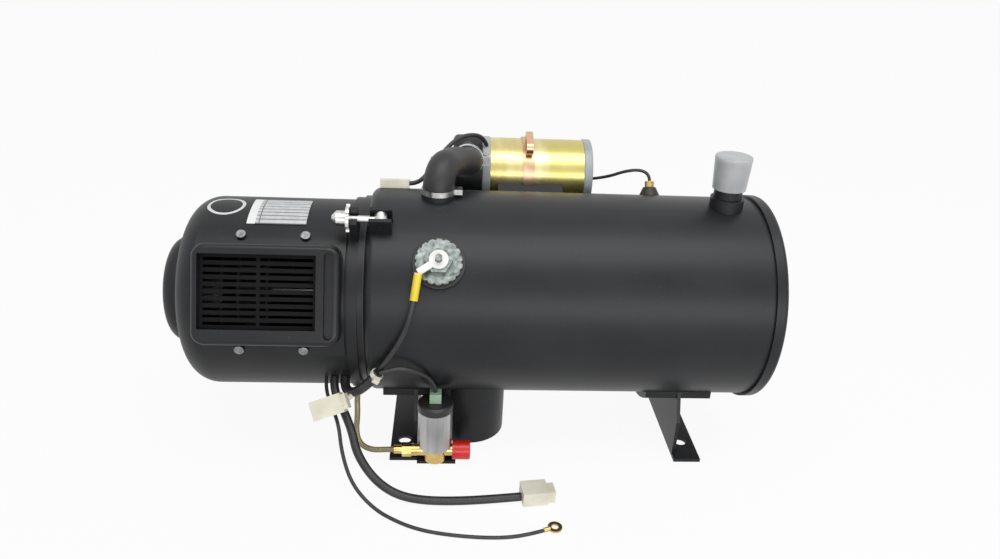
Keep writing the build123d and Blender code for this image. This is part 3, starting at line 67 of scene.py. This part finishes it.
# %% [markdown]
# Paint, plastic and plated steel all need the same few things: a colour that varies slightly over
# the surface, a roughness that varies with it, and a fine relief. One helper wires these together
# from noise on the object's own coordinates, so the pattern has a real size and never slides.

# %% A helper for finishes
def node(material, kind, **values):
    """Adds a shader node, with its properties and its inputs given by name."""
    made = material.node_tree.nodes.new(kind)
    for key, value in values.items():
        if hasattr(made, key):
            setattr(made, key, value)
        else:
            made.inputs[key.replace("_", " ")].default_value = value
    return made


def wire(material, source, target):
    """Joins an output of one shader node to an input of another."""
    material.node_tree.links.new(source, target)


def shader_of(material):
    """The one shader that every finish here ends in."""
    return material.node_tree.nodes["Principled BSDF"]


def base_colour(material):
    """The socket that feeds the shader's colour so far."""
    return shader_of(material).inputs["Base Color"].links[0].from_socket


def finish(name, dark, light, rough, metal=0.0, mottle=30.0, grain=1500.0, relief=0.1, spread=0.06,
           specular=0.5, stretch=(1.0, 1.0, 1.0)):
    """A finish whose colour runs from dark to light with the mottling, with a fine grain in relief."""
    material = bpy.data.materials.new(name)
    material.use_nodes = True
    shader = shader_of(material)
    shader.inputs["Metallic"].default_value = metal
    shader.inputs["Specular IOR Level"].default_value = specular
    place = node(material, "ShaderNodeTexCoord")
    sized = node(material, "ShaderNodeMapping", Scale=stretch)
    wire(material, place.outputs["Object"], sized.inputs["Vector"])
    patches = node(material, "ShaderNodeTexNoise", Scale=mottle, Detail=6.0)
    wire(material, sized.outputs["Vector"], patches.inputs["Vector"])
    ramp = node(material, "ShaderNodeValToRGB")
    ramp.color_ramp.elements[0].position, ramp.color_ramp.elements[1].position = 0.3, 0.7
    ramp.color_ramp.elements[0].color = (*dark, 1.0)
    ramp.color_ramp.elements[1].color = (*light, 1.0)
    wire(material, patches.outputs["Fac"], ramp.inputs["Fac"])
    wire(material, ramp.outputs["Color"], shader.inputs["Base Color"])
    shine = node(material, "ShaderNodeMapRange", To_Min=rough - spread, To_Max=rough + spread)
    wire(material, patches.outputs["Fac"], shine.inputs["Value"])
    wire(material, shine.outputs["Result"], shader.inputs["Roughness"])
    fine = node(material, "ShaderNodeTexNoise", Scale=grain, Detail=3.0)
    wire(material, sized.outputs["Vector"], fine.inputs["Vector"])
    bump = node(material, "ShaderNodeBump", Strength=relief, Distance=0.0004)
    wire(material, fine.outputs["Fac"], bump.inputs["Height"])
    wire(material, bump.outputs["Normal"], shader.inputs["Normal"])
    return material


def zone(material, normal, offset, dark, light, rough=None, metal=None):
    """Gives what lies beyond a plane another colour, and if asked another roughness and metalness."""
    shader = shader_of(material)
    place = node(material, "ShaderNodeTexCoord")
    along = node(material, "ShaderNodeVectorMath", operation="DOT_PRODUCT")
    along.inputs[1].default_value = normal
    wire(material, place.outputs["Object"], along.inputs[0])
    beyond = node(material, "ShaderNodeMath", operation="GREATER_THAN")
    beyond.inputs[1].default_value = offset
    wire(material, along.outputs["Value"], beyond.inputs[0])
    patches = node(material, "ShaderNodeTexNoise", Scale=60.0, Detail=4.0)
    wire(material, place.outputs["Object"], patches.inputs["Vector"])
    ramp = node(material, "ShaderNodeValToRGB")
    ramp.color_ramp.elements[0].color = (*dark, 1.0)
    ramp.color_ramp.elements[1].color = (*light, 1.0)
    wire(material, patches.outputs["Fac"], ramp.inputs["Fac"])
    both = node(material, "ShaderNodeMix", data_type="RGBA")
    wire(material, beyond.outputs["Value"], both.inputs[0])
    wire(material, base_colour(material), both.inputs[6])
    wire(material, ramp.outputs["Color"], both.inputs[7])
    wire(material, both.outputs[2], shader.inputs["Base Color"])
    for key, value in (("Roughness", rough), ("Metallic", metal)):
        if value is not None:
            blend = node(material, "ShaderNodeMix", data_type="FLOAT")
            wire(material, beyond.outputs["Value"], blend.inputs[0])
            if shader.inputs[key].is_linked:
                wire(material, shader.inputs[key].links[0].from_socket, blend.inputs[2])
            else:
                blend.inputs[2].default_value = shader.inputs[key].default_value
            blend.inputs[3].default_value = value
            wire(material, blend.outputs[0], shader.inputs[key])
    return material


def ring(material, centre, inner, outer, colour):
    """Prints a plain ring on a finish, between two distances from a point on the surface."""
    shader = shader_of(material)
    place = node(material, "ShaderNodeTexCoord")
    far = node(material, "ShaderNodeVectorMath", operation="DISTANCE")
    far.inputs[1].default_value = centre
    wire(material, place.outputs["Object"], far.inputs[0])
    past = node(material, "ShaderNodeMath", operation="GREATER_THAN")
    past.inputs[1].default_value = inner
    wire(material, far.outputs["Value"], past.inputs[0])
    short = node(material, "ShaderNodeMath", operation="LESS_THAN")
    short.inputs[1].default_value = outer
    wire(material, far.outputs["Value"], short.inputs[0])
    printed = node(material, "ShaderNodeMath", operation="MULTIPLY")
    wire(material, past.outputs[0], printed.inputs[0])
    wire(material, short.outputs[0], printed.inputs[1])
    both = node(material, "ShaderNodeMix", data_type="RGBA")
    wire(material, printed.outputs[0], both.inputs[0])
    wire(material, base_colour(material), both.inputs[6])
    both.inputs[7].default_value = (*colour, 1.0)
    wire(material, both.outputs[2], shader.inputs["Base Color"])
    return material


def dress(material, *names):
    """Gives a finish to solids of the frame."""
    for name in names:
        nodes[name].data.materials.clear()
        nodes[name].data.materials.append(material)

# %% [markdown]
# The cables are the soft part of this object. Each is one smooth curve from where it comes out of
# the head to what it ends in. A NURBS curve of order three rounds the corners of its route by
# itself, as a stiff rubber cable does. The black ones share one finish with a low, broad shine.

# %% Cables and hoses
cable_rubber = finish("cable_rubber", (0.012, 0.012, 0.013), (0.03, 0.03, 0.032), 0.42, mottle=90.0,
                      grain=1400.0, relief=0.12)
fuel_line = finish("fuel_line", (0.16, 0.13, 0.045), (0.34, 0.29, 0.12), 0.3, mottle=50.0, relief=0.05)
shader_of(fuel_line).inputs["Coat Weight"].default_value = 0.4


def cable(name, points, radius, material=cable_rubber):
    """A round cable along a route, which takes the place of the solid of that name."""
    data = bpy.data.curves.new(name, "CURVE")
    data.dimensions = "3D"
    data.resolution_u = 16
    data.bevel_depth = radius
    data.bevel_resolution = 6
    data.use_fill_caps = True
    line = data.splines.new("NURBS")
    line.points.add(len(points) - 1)
    for point, place in zip(line.points, points):
        point.co = (*place, 1.0)
    line.order_u = 3
    line.use_endpoint_u = True
    piece = bpy.data.objects.new(name + "_cord", data)
    bpy.context.scene.collection.objects.link(piece)
    data.materials.append(material)
    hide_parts(name)
    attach(piece, "heater")
    print(name, "has", len(points), "route points")
    return piece


cable("harness_bundle", [(-0.1975, -0.07323, 0.08804), (-0.1975, -0.08199, 0.08139),
                         (-0.187, -0.094, 0.084), (-0.173, -0.0995, 0.098), (-0.163, -0.1015, 0.1125)],
      0.0045)
cable("sensor_lead", [(-0.16249, -0.09942, 0.11354), (-0.157, -0.105, 0.124), (-0.146, -0.1078, 0.143),
                      (-0.1375, -0.1085, 0.162), (-0.1335, -0.1068, 0.178), (-0.1316, -0.1042, 0.1864)],
      0.0024)
cable("valve_lead", [(-0.16221, -0.10463, 0.11324), (-0.152, -0.1045, 0.1175), (-0.139, -0.103, 0.1175),
                     (-0.126, -0.097, 0.1095), (-0.115, -0.089, 0.097), (-0.1115, -0.085, 0.0818)],
      0.002)
cable("power_cable", [(-0.2075, -0.07323, 0.08804), (-0.2075, -0.08278, 0.08078), (-0.197, -0.096, 0.067),
                      (-0.188, -0.109, 0.052), (-0.183, -0.122, 0.038), (-0.17, -0.134, 0.023),
                      (-0.156, -0.141, 0.013), (-0.141, -0.1445, 0.0066), (-0.123, -0.1473, 0.0044),
                      (-0.1, -0.1486, 0.0042), (-0.066, -0.1468, 0.0042), (-0.0307, -0.1421, 0.0042)],
      0.004)
cable("ground_wire", [(-0.215, -0.07323, 0.08804), (-0.215, -0.08119, 0.08199), (-0.209, -0.095, 0.073),
                      (-0.2, -0.11, 0.062), (-0.1958, -0.127, 0.041), (-0.185, -0.146, 0.0205),
                      (-0.164, -0.161, 0.005), (-0.1396, -0.1754, 0.002), (-0.119, -0.1845, 0.0019),
                      (-0.095, -0.1898, 0.0019), (-0.069, -0.1928, 0.0019), (-0.046, -0.1928, 0.0019),
                      (-0.027, -0.189, 0.0019), (-0.0136, -0.1842, 0.0019)],
      0.0017)
cable("fuel_hose", [(-0.1875, -0.05935, 0.07018), (-0.1878, -0.067, 0.061), (-0.187, -0.073, 0.046),
                    (-0.1885, -0.0785, 0.03), (-0.1845, -0.083, 0.0185), (-0.174, -0.0854, 0.0136),
                    (-0.162, -0.0852, 0.0136), (-0.152, -0.085, 0.014)],
      0.0028, material=fuel_line)
cable("overheat_lead", [(0.101, 0.0457, 0.2531), (0.1005, 0.0478, 0.2595), (0.09, 0.0485, 0.264),
                        (0.075, 0.052, 0.2605), (0.061, 0.062, 0.251), (0.0496, 0.08, 0.243)],
      0.0016)
cable("pump_lead", [(-0.1417, 0.02894, 0.24893), (-0.132, 0.02894, 0.24893), (-0.119, 0.046, 0.2625),
                    (-0.107, 0.06, 0.276), (-0.094, 0.07, 0.2855), (-0.079, 0.08, 0.2865),
                    (-0.068, 0.088, 0.281), (-0.0645, 0.0913, 0.27222)],
      0.0022)

# %% [markdown]
# The body is painted satin black. Under soft light such paint is nearly flat, but its sprayed
# surface has a slight orange peel and faint dust. A low specular level keeps the black deep, as a
# pale studio all round would otherwise wash it out. The head carries a plain printed ring on top.

# %% Black paint
def black_paint(name, rough=0.4, lift=1.0):
    dark, light = [tuple(lift * c for c in shade) for shade in ((0.009, 0.0095, 0.011), (0.016, 0.017, 0.019))]
    material = finish(name, dark, light, rough, mottle=14.0, grain=700.0, relief=0.06, specular=0.3)
    shader = shader_of(material)
    place = node(material, "ShaderNodeTexCoord")
    specks = node(material, "ShaderNodeTexNoise", Scale=420.0, Detail=2.0)
    wire(material, place.outputs["Object"], specks.inputs["Vector"])
    sparse = node(material, "ShaderNodeMapRange", From_Min=0.7, From_Max=0.78, To_Min=0.0, To_Max=0.35)
    wire(material, specks.outputs["Fac"], sparse.inputs["Value"])
    dusty = node(material, "ShaderNodeMix", data_type="RGBA")
    wire(material, sparse.outputs["Result"], dusty.inputs[0])
    wire(material, base_colour(material), dusty.inputs[6])
    dusty.inputs[7].default_value = (0.08, 0.08, 0.08, 1.0)
    wire(material, dusty.outputs[2], shader.inputs["Base Color"])
    return material


jacket_black = black_paint("jacket_black")
dress(jacket_black, "jacket_shell", "jacket_end_cap", "water_stubs", "exhaust_stub", "burner_plate")
RING_AT, RING_INNER, RING_OUTER = (-0.31, -0.008, 0.2351), 0.0145, 0.0175
head_black = ring(black_paint("head_black", 0.45, 0.9), RING_AT, RING_INNER, RING_OUTER, (0.7, 0.72, 0.73))
dress(head_black, "burner_housing", "motor_cover")
dress(black_paint("frame_black", 0.33, 0.9), "intake_frame")
dress(black_paint("foot_black", 0.42, 0.8), "foot_left", "foot_right")
dress(black_paint("pump_black", 0.5, 1.0), "pump_volute", "pump_cradle")
dress(finish("grille_black", (0.003, 0.003, 0.003), (0.006, 0.006, 0.007), 0.7, specular=0.15, relief=0.2),
      "intake_grille")

# %% [markdown]
# Small fittings are zinc plated steel, yellow passivated steel or brass. They are all metals, so
# their colour is that of the reflection, and a low roughness with a stretched grain looks rolled.

# %% Metals
zinc = finish("zinc_plate", (0.5, 0.5, 0.49), (0.78, 0.78, 0.76), 0.28, metal=1.0, mottle=120.0, relief=0.08)
dress(zinc, "swing_bolt_front", "swing_bolt_rear", "hose_clamps")
dress(finish("dark_screws", (0.16, 0.16, 0.16), (0.34, 0.34, 0.34), 0.38, metal=1.0, mottle=300.0, relief=0.1),
      "intake_screws")
dress(finish("sensor_plate", (0.07, 0.085, 0.08), (0.36, 0.4, 0.38), 0.42, metal=0.6, mottle=220.0, relief=0.25),
      "temperature_sensor")
steel = finish("bright_steel", (0.36, 0.36, 0.36), (0.6, 0.6, 0.6), 0.34, metal=1.0, mottle=60.0,
               stretch=(1.0, 1.0, 0.05), relief=0.06)
dress(steel, "solenoid_coil", "valve_plunger", "valve_spring", "burner_shaft", "pump_rotor", "burner_motor",
      "heat_exchanger", "combustion_chamber")
brass = finish("brass", (0.5, 0.33, 0.1), (0.78, 0.58, 0.24), 0.28, metal=1.0, mottle=80.0)
dress(brass, "valve_body", "fuel_fitting", "ring_terminal", "fuel_nozzle", "fuel_idler_gear")
cast = finish("cast_aluminium", (0.4, 0.4, 0.41), (0.66, 0.66, 0.67), 0.5, metal=1.0, grain=500.0, relief=0.3)
dress(cast, "fuel_pump_body")
dress(finish("blower_dark", (0.02, 0.02, 0.02), (0.05, 0.05, 0.052), 0.6, metal=0.3, relief=0.2), "blower_wheel")
passivated = finish("yellow_zinc", (0.52, 0.38, 0.1), (0.72, 0.66, 0.34), 0.3, metal=0.9, mottle=26.0,
                    stretch=(1.6, 0.5, 0.5))
zone(passivated, (1.0, 0.0, 0.0), 0.002, (0.56, 0.45, 0.13), (0.66, 0.62, 0.24))
dress(passivated, "pump_can")
copper = finish("copper_zinc", (0.55, 0.34, 0.2), (0.75, 0.52, 0.34), 0.32, metal=0.9, mottle=60.0)
dress(copper, "pump_strap")

# %% [markdown]
# Plastics and rubbers are not metals, so they only differ in colour, in how broad their shine is
# and in how much light passes through. The nylon plugs and the transport cap are a little
# translucent, which a touch of subsurface light gives without making them glass.

# %% Plastics and rubbers
def moulded(name):
    return finish(name, (0.008, 0.008, 0.008), (0.022, 0.022, 0.023), 0.5, grain=800.0, relief=0.2)


AXIS_HEIGHT = 0.148
CAP_PLUG_FOOT = 0.0712       # height where the green plug starts on the valve's black cap
BRASS_CAP_FOOT = 0.1083      # from the jacket's axis to the foot of the overheat sensor's brass cap
SLEEVE_HEAD = 0.2105         # height where the yellow sleeve ends and the white tag starts
rubber = moulded("moulded_rubber")
dress(rubber, "sensor_rim", "pump_hose", "flange_gasket", "ignition_coil", "flame_sensor")
black_cap = finish("black_cap", (0.01, 0.01, 0.01), (0.025, 0.025, 0.025), 0.4, grain=900.0)
zone(black_cap, (0.0, 0.0, 1.0), CAP_PLUG_FOOT, (0.2, 0.34, 0.22), (0.42, 0.56, 0.42), 0.4)
dress(black_cap, "solenoid_cap")
boot = moulded("boot_and_cap")
beyond = (0.0, sin(radians(23.5)), cos(radians(23.5)))
zone(boot, beyond, AXIS_HEIGHT * beyond[2] + BRASS_CAP_FOOT, (0.5, 0.33, 0.1), (0.78, 0.58, 0.24), 0.3, 1.0)
dress(boot, "overheat_sensor")
nylon = finish("cream_nylon", (0.66, 0.63, 0.5), (0.83, 0.81, 0.7), 0.38, mottle=40.0, relief=0.05)
shader_of(nylon).inputs["Subsurface Weight"].default_value = 0.15
shader_of(nylon).inputs["Subsurface Scale"].default_value = 0.004
dress(nylon, "harness_connector", "power_connector", "cable_tie", "ignition_electrodes", "pump_plug")
sleeve = finish("sleeve_and_tag", (0.78, 0.55, 0.02), (0.9, 0.68, 0.05), 0.35, mottle=60.0)
zone(sleeve, (0.0, 0.0, 1.0), SLEEVE_HEAD, (0.72, 0.72, 0.7), (0.88, 0.88, 0.86), 0.3)
dress(sleeve, "sensor_terminal")
pale_grey = finish("pale_grey", (0.3, 0.33, 0.35), (0.46, 0.49, 0.5), 0.45, mottle=40.0)
dress(pale_grey, "pump_end_rings")
dress(finish("red_cap", (0.45, 0.008, 0.008), (0.68, 0.02, 0.015), 0.3, relief=0.04), "red_cap")
clear = finish("clouded_plastic", (0.6, 0.62, 0.63), (0.78, 0.8, 0.81), 0.3, mottle=50.0, relief=0.05)
shader_of(clear).inputs["Transmission Weight"].default_value = 0.5
dress(clear, "outlet_cap")

# %% [markdown]
# The rating plate is bare here: a brushed plate that shows only ruled rows. A brick texture makes
# the rows, with wide flat bricks and thin grey joints, and a white band runs down its left edge.

# %% Rating plate
plate = finish("rating_plate", (0.56, 0.57, 0.58), (0.7, 0.71, 0.72), 0.4, metal=0.1, mottle=200.0)
plate_place = node(plate, "ShaderNodeTexCoord")
rows = node(plate, "ShaderNodeTexBrick", Scale=1.0)
rows.inputs["Brick Width"].default_value = 0.055
rows.inputs["Row Height"].default_value = 0.0052
rows.inputs["Mortar Size"].default_value = 0.0006
rows.inputs["Mortar Smooth"].default_value = 0.2
rows.offset = 0.0
rows.inputs["Color1"].default_value = (1.0, 1.0, 1.0, 1.0)
rows.inputs["Color2"].default_value = (0.9, 0.9, 0.9, 1.0)
rows.inputs["Mortar"].default_value = (0.25, 0.25, 0.26, 1.0)
wire(plate, plate_place.outputs["Object"], rows.inputs["Vector"])
tint = node(plate, "ShaderNodeMix", data_type="RGBA", blend_type="MULTIPLY")
tint.inputs[0].default_value = 1.0
wire(plate, base_colour(plate), tint.inputs[6])
wire(plate, rows.outputs["Color"], tint.inputs[7])
wire(plate, tint.outputs[2], shader_of(plate).inputs["Base Color"])
BAND_EDGE = 0.2785
zone(plate, (-1.0, 0.0, 0.0), BAND_EDGE, (0.8, 0.8, 0.8), (0.88, 0.88, 0.88))
dress(plate, "rating_plate")

# %% [markdown]
# The floor and the world are white to the camera and in reflections, while a weaker world lights
# the object. A mixed-in emission keeps the floor pale and still lets a soft shadow through. Two
# large lamps, one above and one low at the front, draw the broad soft streaks on the paint.

# %% Floor, world and lamps
bpy.ops.object.select_all(action="DESELECT")
bpy.ops.mesh.primitive_plane_add(size=30.0, location=(0.0, 0.0, -0.0005))
floor = bpy.context.object
floor.name = "floor"
floor_paint = bpy.data.materials.new("floor_white")
floor_paint.use_nodes = True
floor_nodes = floor_paint.node_tree.nodes
floor_nodes["Principled BSDF"].inputs["Base Color"].default_value = (0.8, 0.8, 0.8, 1.0)
floor_nodes["Principled BSDF"].inputs["Roughness"].default_value = 0.9
glow = node(floor_paint, "ShaderNodeEmission", Color=(1.0, 1.0, 1.0, 1.0))
share = node(floor_paint, "ShaderNodeMixShader")
path = node(floor_paint, "ShaderNodeLightPath")
seen = node(floor_paint, "ShaderNodeMath", operation="MAXIMUM")
wire(floor_paint, path.outputs["Is Camera Ray"], seen.inputs[0])
wire(floor_paint, path.outputs["Is Glossy Ray"], seen.inputs[1])
amount = node(floor_paint, "ShaderNodeMath", operation="MULTIPLY")
amount.inputs[1].default_value = 0.93
wire(floor_paint, seen.outputs[0], amount.inputs[0])
wire(floor_paint, amount.outputs[0], share.inputs[0])
wire(floor_paint, floor_nodes["Principled BSDF"].outputs[0], share.inputs[1])
wire(floor_paint, glow.outputs[0], share.inputs[2])
wire(floor_paint, share.outputs[0], floor_nodes["Material Output"].inputs["Surface"])
floor.data.materials.append(floor_paint)

world = bpy.data.worlds.new("studio")
world.use_nodes = True
bpy.context.scene.world = world
world_nodes = world.node_tree.nodes
lit = world_nodes["Background"]
lit.inputs["Color"].default_value = (1.0, 1.0, 1.0, 1.0)
lit.inputs["Strength"].default_value = 0.45
white = world_nodes.new("ShaderNodeBackground")
white.inputs["Color"].default_value = (1.0, 1.0, 1.0, 1.0)
white.inputs["Strength"].default_value = 1.0
rays = world_nodes.new("ShaderNodeLightPath")
first = world_nodes.new("ShaderNodeMath")
first.operation = "MAXIMUM"
second = world_nodes.new("ShaderNodeMath")
second.operation = "MAXIMUM"
choice = world_nodes.new("ShaderNodeMixShader")
tie = world.node_tree.links.new
tie(rays.outputs["Is Camera Ray"], first.inputs[0])
tie(rays.outputs["Is Glossy Ray"], first.inputs[1])
tie(first.outputs[0], second.inputs[0])
tie(rays.outputs["Is Transmission Ray"], second.inputs[1])
tie(second.outputs[0], choice.inputs[0])
tie(lit.outputs[0], choice.inputs[1])
tie(white.outputs[0], choice.inputs[2])
tie(choice.outputs[0], world_nodes["World Output"].inputs["Surface"])


def lamp(name, place, aim, size, watts):
    data = bpy.data.lights.new(name, "AREA")
    data.shape = "RECTANGLE"
    data.size, data.size_y = size
    data.energy = watts
    made = bpy.data.objects.new(name, data)
    bpy.context.scene.collection.objects.link(made)
    made.location = place
    made.rotation_euler = (Vector(aim) - Vector(place)).to_track_quat("-Z", "Y").to_euler()
    return made


lamp("lamp_above", (0.1, -0.5, 1.6), (0.0, 0.0, 0.15), (1.6, 0.8), 14.0)
lamp("lamp_front", (0.3, -1.5, 0.35), (0.0, 0.0, 0.15), (1.4, 0.5), 8.0)
bpy.context.scene.view_settings.view_transform = "Standard"
